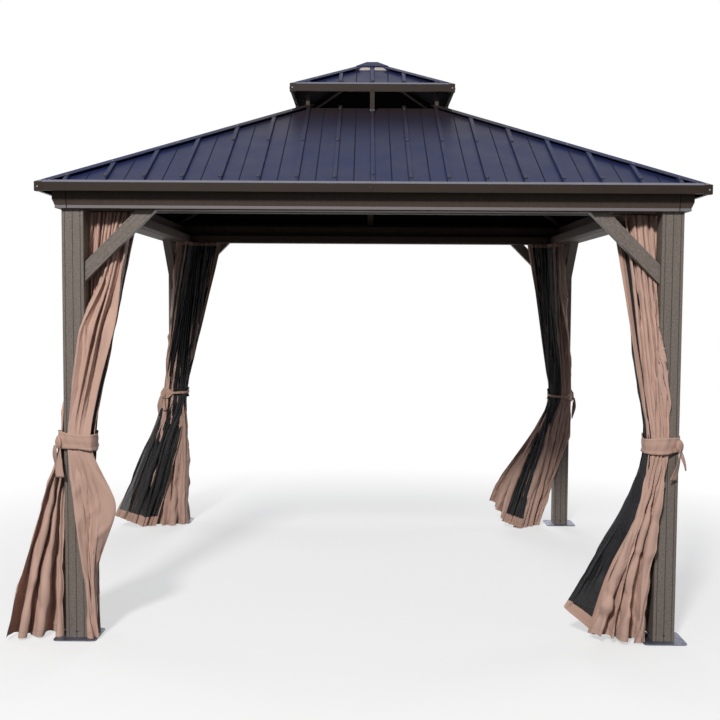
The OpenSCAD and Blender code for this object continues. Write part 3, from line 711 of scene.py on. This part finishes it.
def key_points(stations, reach, slot, flap):
    """The stations' places across the cloth, and their points on the rail, at KEY_Z and at the hem.

    The cloth hangs in an L round the corner, from slot to reach along both rails. Its first and
    last 5 % lie nearly flat and take up only flap millimetres of rail."""
    m = np.array([s[0] for s in stations])
    wing_x, wing_y = reach[0] - slot, reach[1] - slot
    total = wing_x + wing_y
    along = np.interp(m, [0, 0.05, 0.95, 1], [0, flap, total - flap, total])
    on_x_side = along < wing_x
    top = np.stack([np.where(on_x_side, reach[0] - along, slot),
                    np.where(on_x_side, slot, slot + along - wing_x)], 1)
    band, low, lower = (np.array([s[i] for s in stations], float) for i in (1, 2, 3))
    hem = np.array([s[4][:2] for s in stations], float)
    hem_z = np.array([s[4][2] if len(s[4]) > 2 else HEM_MM for s in stations], float) / 1000
    to_band = CLOTH_TOP - BAND_HIGH
    shoulder = top + (band - top) * ((CLOTH_TOP - SHOULDER_Z) / to_band)
    # behind the knee braces
    shoulder[:, 1] = np.where(on_x_side, np.maximum(shoulder[:, 1], BRACE_BACK_MM), shoulder[:, 1])
    shoulder[:, 0] = np.where(~on_x_side, np.maximum(shoulder[:, 0], BRACE_BACK_MM), shoulder[:, 0])
    mid = top + (band - top) * (CLOTH_TOP - MID_Z) / to_band
    for i, s in enumerate(stations):
        if len(s) > 5:
            mid[i] = s[5]
    keys = [np.column_stack([row / 1000, np.full(len(m), z)])
            for row, z in zip((top, shoulder, mid, band, band, low, lower), KEY_Z)]
    keys.append(np.column_stack([hem / 1000, hem_z]))
    return m, np.array(keys)


# ---------- the hanging cloth ----------

CURTAIN = dict(slot=70, nu=381, nv=141, pleats=20, depth=0.052, crease=0.010, flap=20, net=False)
NETTING = dict(slot=110, nu=341, nv=91, pleats=19, depth=0.044, crease=0.004, flap=50, net=True)
CLEAR = POST_HALF + 0.003  # half the square that all cloth keeps out of
NET_CLEAR = 0.006  # the netting's further distance from the post
OFF_GROUND = 0.0015
BLUR_ACROSS, BLUR_DOWN = 0.004, 0.022  # shares of the cloth's columns and rows
PINCH, PINCH_RIPPLES = 0.085, 0.14  # how far down the cloth the band's pinch reaches
MERGE_FROM, MERGE_OVER = 0.50, 0.22  # where the pleats merge into broad folds
HEM_FROM, HEM_OVER = 0.86, 0.12  # where a netting flattens towards its hem
# how deep the folds are, at shares of the way down
SWELL_V = (0, 0.1, 0.3, 0.45, 0.53, 0.62, 0.8, 1)
SWELL = (1.0, 1.0, 0.78, 0.58, 0.46, 0.42, 0.40, 0.46)


def blur(grid, axis, sigma):
    """Gaussian smoothing that keeps both ends where they are."""
    half = int(math.ceil(3 * sigma))
    k = np.exp(-0.5 * (np.arange(-half, half + 1) / sigma) ** 2)
    k /= k.sum()
    g = np.moveaxis(grid, axis, 0)
    first, last = g[:1], g[-1:]
    before = 2 * first - g[1:half + 1][::-1]
    after = 2 * last - g[-half - 1:-1][::-1]
    wide = np.concatenate([before, g, after])
    out = sum(k[i] * wide[i:i + len(g)] for i in range(len(k)))
    return np.moveaxis(out, 0, axis)


def ripple(rng, m, v, waves, low, high):
    """Smooth seeded noise over the cloth, about -1 to 1, from waves of low to high cycles."""
    out = np.zeros(np.broadcast(m, v).shape)
    for _ in range(waves):
        cycles = rng.uniform(low[0], high[0]) * m + rng.uniform(low[1], high[1]) * v
        out += np.sin(2 * math.pi * cycles + rng.uniform(0, 2 * math.pi))
    return out / math.sqrt(waves)


def creases(rng, m, v):
    """Sharp slanting creases that come and go, as in a stiff light cloth; about -1 to 1."""
    out = np.zeros(np.broadcast(m, v).shape)
    for k in range(9):
        angle = rng.uniform(-1.2, 1.2)
        spacing = rng.uniform(2.5, 7.5)
        bend = 0.35 * ripple(rng, m, v, 3, (1, 0.5), (4, 3))
        at = spacing * (2 * m * math.cos(angle) + 2 * v * math.sin(angle)) + bend
        edge = 1 - np.abs(2 * (at - np.floor(at)) - 1)
        mask = np.clip(ripple(rng, m, v, 4, (1, 1), (7, 5)), 0, 1) ** 1.5
        out += (1 if k % 2 else -1) * edge ** 3 * mask
    return out


def spanned(m_k, keys, nu, nv):
    """A smooth grid of nv rows by nu columns through the key points."""
    m, v = np.linspace(0, 1, nu), np.linspace(0, 1, nv)
    v_k = np.array([(CLOTH_TOP - z) / CLOTH_TOP for z in KEY_Z] + [1.0])
    wide = np.stack([np.stack([np.interp(m, m_k, row[:, c]) for c in range(3)], 1)
                     for row in keys])
    wide = blur(wide, 1, BLUR_ACROSS * nu)
    grid = np.stack([np.stack([np.interp(v, v_k, wide[:, j, c]) for c in range(3)], 1)
                     for j in range(nu)], 1)
    grid[:, :, :2] = blur(grid[:, :, :2], 0, BLUR_DOWN * nv)
    return grid


def keep_clear(grid, mm, vv, net):
    """Pushes points out of the post and up from the ground and the base plate."""
    a, b = grid[:, :, 0], grid[:, :, 1]
    clear = CLEAR + (NET_CLEAR if net else 0) + 0.003 * (1 + np.sin(2 * math.pi * 11 * mm + 3 * vv))
    inside = (np.abs(a) < clear) & (np.abs(b) < clear)
    grow = clear / np.maximum(np.maximum(np.abs(a), np.abs(b)), 1e-4)
    grid[:, :, 0] = np.where(inside, a * grow, a)
    grid[:, :, 1] = np.where(inside, b * grow, b)
    over = (np.abs(grid[:, :, 0]) < OVER_PLATE) & (np.abs(grid[:, :, 1]) < OVER_PLATE)
    floor_z = np.where(over, PLATE_T + OFF_GROUND, OFF_GROUND)
    grid[:, :, 2] = np.maximum(grid[:, :, 2], floor_z)


def cloth_grid(corner, stations, reach, seed, slot, nu, nv, pleats, depth, crease, flap, net):
    """Points of a hanging, tied cloth, in the world and inwards from the post.

    Rows go down. Columns go from the free edge on the X side round the corner."""
    rng = np.random.default_rng(seed)
    grid = spanned(*key_points(stations, reach, slot, flap), nu, nv)
    mm, vv = np.linspace(0, 1, nu)[None, :], np.linspace(0, 1, nv)[:, None]
    tangent = blur(np.gradient(grid[:, :, :2], axis=1), 1, BLUR_ACROSS * nu)
    tangent /= np.maximum(np.linalg.norm(tangent, axis=2, keepdims=True), 1e-9)
    normal = np.stack([-tangent[:, :, 1], tangent[:, :, 0]], 2)
    pinch = np.exp(-((vv - BAND_V) / PINCH) ** 2)
    # fine pleats from the rail, which wander and merge into broad folds below the band
    wander = 0.16 * ripple(rng, mm, vv, 5, (1, 0.5), (9, 2.5)) * (1 - np.exp(-vv / 0.12))
    uneven = 0.25 * ripple(rng, mm, 0 * vv, 5, (2, 0), (11, 0))
    phase = 2 * math.pi * (pleats * mm + wander + uneven)
    height = 1 + 0.22 * ripple(rng, mm, vv, 5, (3, 0.3), (14, 1.6))
    broad = np.clip((vv - MERGE_FROM) / MERGE_OVER, 0, 1) ** 2 * 0.85
    merged = np.sin(0.42 * phase + 1.3 * ripple(rng, mm, vv, 3, (0.5, 0.3), (2, 1)))
    wave = (1 - broad) * (np.sin(phase) - 0.12 * np.sin(3 * phase)) + broad * 1.9 * merged
    # their depth: pressed flat at the band, and a netting is flatter at its edges and its hem
    swell = np.interp(vv, SWELL_V, SWELL)
    amount = depth / 2 * swell * (1 - 0.82 * pinch) * np.clip(height, 0.35, 1.8)
    if net:
        amount = amount * np.clip(np.minimum(mm, 1 - mm) / 0.045, 0.15, 1)
        amount = amount * (1 - 0.65 * np.clip((vv - HEM_FROM) / HEM_OVER, 0, 1))
    # slow swells between the folds
    coarse = ripple(rng, mm, vv, 6, (2.5, 0.2), (7, 1.2))
    slow = 0.006 * (1 - 0.8 * pinch) * np.sin(math.pi * vv) ** 0.7 * coarse
    grid[:, :, :2] += normal * (amount * wave + slow)[:, :, None]
    grid[:, :, :2] += tangent * (0.35 * amount * np.sin(2 * phase))[:, :, None]
    # fine ripples, most of them beside the band, and creases
    fine = ripple(rng, mm, vv, 10, (8, 4), (30, 16))
    near = 0.0008 + 0.0014 * np.exp(-((vv - BAND_V) / PINCH_RIPPLES) ** 2)
    sharp = crease * creases(rng, mm, vv) * (1 - 0.85 * pinch)
    grid[:, :, :2] += normal * (near * fine + sharp)[:, :, None]
    keep_clear(grid, mm, vv, net)
    world = np.stack([*from_post(corner, grid[:, :, 0], grid[:, :, 1]), grid[:, :, 2]], 2)
    return world, grid


def grid_piece(name, world, material, slot, width, length, keep=None):
    """A sheet from a grid of points, or from the cells that keep marks; its UVs are metres."""
    nv, nu = world.shape[:2]
    i, j = np.meshgrid(np.arange(nv - 1), np.arange(nu - 1), indexing="ij")
    if keep is not None:
        i, j = i[keep], j[keep]
    a = (i * nu + j).ravel()
    used, faces = np.unique(np.stack([a, a + 1, a + nu + 1, a + nu], 1), return_inverse=True)
    u = np.broadcast_to(np.linspace(0, width, nu)[None, :], (nv, nu)).ravel()
    w = np.broadcast_to(np.linspace(length, 0, nv)[:, None], (nv, nu)).ravel()
    return piece(name, world.reshape(-1, 3)[used], faces.reshape(-1, 4), material,
                 uv=np.stack([u, w], 1)[used])


def at_band(local):
    """The points of a cloth that lie under its tie band, seen from above."""
    nv = len(local)
    return local[int(0.50 * nv):int(0.55 * nv), :, :2].reshape(-1, 2)


CURTAIN_WIDTH, NETTING_WIDTH, CLOTH_LENGTH = 2.0, 1.5, 1.97
SIDE_HEM, FOOT_HEM, HEADING = 0.055, 0.062, 0.03  # the tape round a netting
POST_SQUARE = np.array([(-0.05, -0.05), (0.05, -0.05), (0.05, 0.05), (-0.05, 0.05)])
band_points = {}
for number, corner in enumerate(CORNERS):
    world, local = cloth_grid(corner, **CURTAINS[corner], seed=40 + number, **CURTAIN)
    o = grid_piece("cloth_" + corner, world, CLOTH, "curtain", CURTAIN_WIDTH, CLOTH_LENGTH)
    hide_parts("curtain_" + corner)
    # the netting hangs on the inner rail and is tied in on the room's side of the curtain
    net, net_local = cloth_grid(corner, **NETTINGS[corner], seed=60 + number, **NETTING)
    nv, nu = net.shape[:2]
    at_m = (np.arange(nu - 1) + 0.5) / (nu - 1) * NETTING_WIDTH
    at_v = (np.arange(nv - 1) + 0.5) / (nv - 1) * CLOTH_LENGTH
    sides = (at_m < SIDE_HEM) | (at_m > NETTING_WIDTH - SIDE_HEM)
    ends = (at_v < HEADING) | (at_v > CLOTH_LENGTH - FOOT_HEM)
    taped = sides[None, :] | ends[:, None]
    size = NETTING_WIDTH, CLOTH_LENGTH
    n = grid_piece("net_" + corner, net, NET, "netting", *size, ~taped)
    tape = grid_piece("net_tape_" + corner, net, TAPE, "curtain", *size, taped)
    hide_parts("netting_" + corner)
    band_points[corner] = np.concatenate([at_band(local), at_band(net_local), POST_SQUARE])


# ---------- tie bands ----------

AROUND, LEVELS = 120, 9  # points round a band, and up its height
BAND_HALF = 0.036
BAND_INSIDE, BAND_OUTSIDE = 0.0015, 0.0042  # its two faces, outwards from the bundle
CORD = 0.8  # how much narrower a rear corner's tie is on the room's side
# which way the knot looks from the bundle's middle, in the same axes as the stations
KNOTS = {
    "front_left": (-0.058, -0.070), "front_right": (-0.034, -0.085),
    "rear_left": (-0.06, 0.10), "rear_right": (-0.10, 0.03),
}
UP = np.array((0, 0, 1))


def hull(points):
    """The convex outline of points in a plane."""
    pts = sorted(map(tuple, points))

    def chain(seq):
        out = []
        for p in seq:
            while len(out) > 1 and ((out[-1][0] - out[-2][0]) * (p[1] - out[-2][1])
                                    - (out[-1][1] - out[-2][1]) * (p[0] - out[-2][0])) <= 0:
                out.pop()
            out.append(p)
        return out[:-1]
    return np.array(chain(pts) + chain(pts[::-1]))


def ring(points, count):
    """Evenly spaced points along a closed line."""
    closed = np.vstack([points, points[:1]])
    step = np.linalg.norm(np.diff(closed, axis=0), axis=1)
    s = np.concatenate([[0], np.cumsum(step)])
    at = np.linspace(0, s[-1], count, endpoint=False)
    return np.stack([np.interp(at, s, closed[:, c]) for c in range(2)], 1)


def band_shape(corner, loop, rng):
    """A closed strip of cloth round a loop, with a curl across it and fine creases."""
    sx, sy = CORNERS[corner]
    outward = np.roll(loop, -1, 0) - np.roll(loop, 1, 0)
    outward = np.stack([outward[:, 1], -outward[:, 0]], 1)
    outward /= np.linalg.norm(outward, axis=1, keepdims=True)
    around = np.linspace(0, 2 * math.pi, AROUND, endpoint=False)
    tilt = 0.008 * np.sin(around + rng.uniform(0, 6))
    # the rear ties are a thin cord on the room's side
    cord = np.clip((loop[:, 0] + 0.045) / 0.03, 0, 1) * np.clip(loop[:, 1] / 0.05, 0, 1) * (sy > 0)
    cord = (np.roll(cord, 1) + 2 * cord + np.roll(cord, -1)) / 4
    half = (BAND_HALF + 0.003 * np.sin(3 * around + 1)) * (1 - CORD * cord)
    verts = []
    for off in (BAND_INSIDE, BAND_OUTSIDE):
        for k in range(LEVELS):
            t = k / (LEVELS - 1)
            curl = 0.0016 * math.cos(2 * math.pi * t * 1.5 + 1) + 0.003 * (abs(2 * t - 1) ** 3)
            crease = 0.0012 * np.sin(14 * around + 5 * t)
            p = loop + outward * (off + curl + crease)[:, None]
            z = BAND_MID + tilt + (2 * t - 1) * half
            verts.append(np.column_stack([*from_post(corner, p[:, 0], p[:, 1]), z]))
    faces = []
    for layer in (0, 1):
        for k in range(LEVELS - 1):
            row = (layer * LEVELS + k) * AROUND
            cells = belt(row, row + AROUND, AROUND)
            faces += cells if layer else [f[::-1] for f in cells]
    outer, last = LEVELS * AROUND, (LEVELS - 1) * AROUND
    faces += belt(0, outer, AROUND) + belt(outer + last, last, AROUND)
    if sx * sy < 0:
        faces = [f[::-1] for f in faces]
    return np.concatenate(verts), faces


def knot_shape(base, side, out, rows=12, columns=20):
    """A lumpy ball, 42 mm wide, 24 mm deep and 60 mm high."""
    verts, faces = [], []
    for i in range(rows + 1):
        lat = math.pi * (i / rows - 0.5)
        for j in range(columns):
            lon = 2 * math.pi * j / columns
            r = math.cos(lat) * (1 + 0.12 * math.sin(3 * lon + 2 * lat))
            z = 0.030 * math.sin(lat) * (1 + 0.1 * math.sin(5 * lon))
            verts.append(base + side * 0.021 * r * math.cos(lon) + out * 0.012 * r * math.sin(lon)
                         + UP * z)
    for i in range(rows):
        faces += belt(i * columns, (i + 1) * columns, columns)
    return verts, faces


def tail_shape(base, side, out, sign, length, broad, steps=14):
    """A twisted end of the tie, closed all round, that hangs from the knot."""
    cuts = [(-1, 0), (-0.6, 0.5), (0, 0.5), (0.6, 0.5),
            (1, 0), (0.6, -0.5), (0, -0.5), (-0.6, -0.5)]
    thick, narrow = 0.0016, 0.008
    verts, faces = [], []
    for i in range(steps + 1):
        t = i / steps
        p = (base - UP * 0.012 + side * sign * (0.008 + 0.022 * t ** 1.3)
             + out * (0.004 + 0.010 * math.sin(3 * i / steps + sign)) - UP * length * t)
        twist = 0.5 * math.sin(2.2 * i / steps + sign)
        across = side * math.cos(twist) + out * math.sin(twist)
        normal = out * math.cos(twist) - side * math.sin(twist)
        half = narrow + (broad - narrow) * min(1, 2.2 * i / steps)
        verts += [p + across * half * s + normal * thick * n for s, n in cuts]
    k = len(cuts)
    for i in range(steps):
        faces += belt(i * k, (i + 1) * k, k)
    faces.append(tuple(range(k))[::-1])
    faces.append(tuple(steps * k + j for j in range(k)))
    return verts, faces


bands = Parts()
for number, (corner, points) in enumerate(band_points.items()):
    sx, sy = CORNERS[corner]
    loop = ring(hull(points), AROUND)
    loop = (np.roll(loop, 1, 0) + loop + np.roll(loop, -1, 0)) / 3
    bands.add(*band_shape(corner, loop, np.random.default_rng(90 + number)))
    centre = loop.mean(0)
    away = np.array(KNOTS[corner]) - centre
    away /= np.linalg.norm(away)
    hit = loop[np.argmax((loop - centre) @ away)]
    out = np.array((-sx * away[0], -sy * away[1], 0))
    base = np.array((*from_post(corner, *hit), BAND_MID - 0.008)) + out * 0.009
    side = np.cross(out, UP)
    bands.add(*knot_shape(base, side, out))
    turned = -1 if corner == "front_left" else 1
    for sign, length, broad in ((-turned, 0.10, 0.012), (turned, 0.145, 0.024)):
        bands.add(*tail_shape(base, side, out, sign, length, broad))
tie = bands.make("cloth_tie_bands", TAPE, "curtain")
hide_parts("tie_bands")
uv = tie.data.uv_layers.new(name="UVMap")
for point in tie.data.loops:
    co = tie.data.vertices[point.vertex_index].co
    uv.data[point.index].uv = (co.x + co.y, co.z - BAND_LOW + 0.02)

# ---------- gliders on the rails ----------

GLIDER = lathe([(0, 0), (0.0032, 0), (0.0036, 0.0015), (0.0018, 0.003), (0.0018, 0.0075),
                (0.0034, 0.009), (0, 0.0095)], 10)
GLIDERS_A_WING, GLIDER_DOWN = 9, 0.006
gliders = Parts(GLIDER)
for corner in CORNERS:
    for cloths, kind in ((CURTAINS, CURTAIN), (NETTINGS, NETTING)):
        slot = kind["slot"] / 1000
        for wing in (0, 1):
            far = cloths[corner]["reach"][wing] / 1000
            for k in range(GLIDERS_A_WING):
                at = slot + (far - slot) * (k + 0.5) / GLIDERS_A_WING
                x, y = from_post(corner, *((at, slot) if wing == 0 else (slot, at)))
                gliders.put(Matrix.Translation((x, y, CLOTH_TOP - GLIDER_DOWN)))
gliders.make("gliders", NYLON, "trim")

# ---------- the photo's camera, fitted to its edges together with the sizes ----------

CAMERA_AT = (-0.0285, -6.4282, 1.5566)
YAW, PITCH, ROLL = 0.0048, -0.0657, 0.0059
cam = bpy.data.cameras.new("camera")
cam.lens, cam.sensor_width = 55.19, 36
cam.shift_y = 0.0221
camera = bpy.data.objects.new("camera", cam)
scene.collection.objects.link(camera)
camera.matrix_world = (Matrix.Translation(CAMERA_AT)
                       @ Matrix.Rotation(YAW, 4, "Z")
                       @ Matrix.Rotation(math.pi / 2 + PITCH, 4, "X")
                       @ Matrix.Rotation(ROLL, 4, "Z"))
scene.camera = camera

# ---------- floor, background and light ----------

FLOOR_HALF, FLOOR_Z = 40, -0.0012
FADE_FROM, FADE_TO = 1.8, 4.0
WHITE = (1, 1, 1, 1)


def plain_white(tree):
    """1 for the camera, reflections and glass, and 0 for the light that falls on the object."""
    path = tree.nodes.new("ShaderNodeLightPath")
    seen = path.outputs["Is Camera Ray"]
    for ray in ("Is Glossy Ray", "Is Transmission Ray"):
        both = tree.nodes.new("ShaderNodeMath")
        both.operation = "MAXIMUM"
        tree.links.new(seen, both.inputs[0])
        tree.links.new(path.outputs[ray], both.inputs[1])
        seen = both.outputs[0]
    return seen


floor_mesh = bpy.data.meshes.new("floor")
floor_mesh.from_pydata([(x * FLOOR_HALF, y * FLOOR_HALF, 0) for x, y in CORNERS.values()], [],
                       [(0, 1, 3, 2)])
floor = bpy.data.objects.new("floor", floor_mesh)
floor.location.z = FLOOR_Z
scene.collection.objects.link(floor)
# the floor fades into the white background with its distance from the centre
paint = Paint("studio_floor", (0.86, 0.86, 0.86, 1), 0.9, Specular_IOR_Level=0.1)
seen = plain_white(paint.tree)
paint.colour(paint.mix(seen, (0.09, 0.0875, 0.0845, 1), (0.80, 0.80, 0.80, 1)))
glow = paint.node("ShaderNodeEmission", Color=WHITE, Strength=1.0)
fade = paint.node("ShaderNodeMixShader")
place = paint.node("ShaderNodeNewGeometry")
distance = paint.node("ShaderNodeVectorMath", operation="LENGTH")
paint.link(place.outputs["Position"], distance.inputs[0])
share = paint.between(distance.outputs["Value"], FADE_FROM, FADE_TO, 0.55, 1.0)
paint.link(paint.math("MULTIPLY", share, seen), fade.inputs[0])
paint.link(paint.b.outputs[0], fade.inputs[1])
paint.link(glow.outputs[0], fade.inputs[2])
paint.link(fade.outputs[0], paint.tree.nodes["Material Output"].inputs["Surface"])
floor_mesh.materials.append(paint.m)

studio = bpy.data.worlds.new("studio")
studio.use_nodes = True
scene.world = studio
tree = studio.node_tree
background = tree.nodes["Background"]
background.inputs["Color"].default_value = (0.13, 0.138, 0.16, 1)
white = tree.nodes.new("ShaderNodeBackground")
white.inputs["Color"].default_value = WHITE
mixer = tree.nodes.new("ShaderNodeMixShader")
tree.links.new(plain_white(tree), mixer.inputs[0])
tree.links.new(background.outputs[0], mixer.inputs[1])
tree.links.new(white.outputs[0], mixer.inputs[2])
tree.links.new(mixer.outputs[0], tree.nodes["World Output"].inputs["Surface"])


def area(name, at, aim, size, power, colour):
    light = bpy.data.lights.new(name, "AREA")
    light.shape, light.size, light.energy, light.color = "DISK", size, power, colour
    o = bpy.data.objects.new(name, light)
    scene.collection.objects.link(o)
    o.location = at
    o.rotation_euler = (Vector(aim) - Vector(at)).to_track_quat("-Z", "Y").to_euler()


# the key stands where the photo's sun does; the other four keep its dark sides readable
PALE = (0.96, 0.97, 1.0)
area("key", (-2.83, -11.8, 8.2), (0, 0, 1.2), 1.5, 1650, (1.0, 0.97, 0.93))
area("fill", (7.0, -7.0, 3.5), (0, 0, 1.0), 5.0, 40, (0.92, 0.95, 1.0))
area("back", (0.0, 10.0, 4.6), (0, 0, 1.2), 4.0, 420, PALE)
area("right_side", (9.5, 4.0, 2.8), (0, 0, 1.0), 4.0, 210, PALE)
area("left_side", (-9.5, 4.0, 2.8), (0, 0, 1.0), 4.0, 210, PALE)

scene.view_settings.view_transform = "Standard"
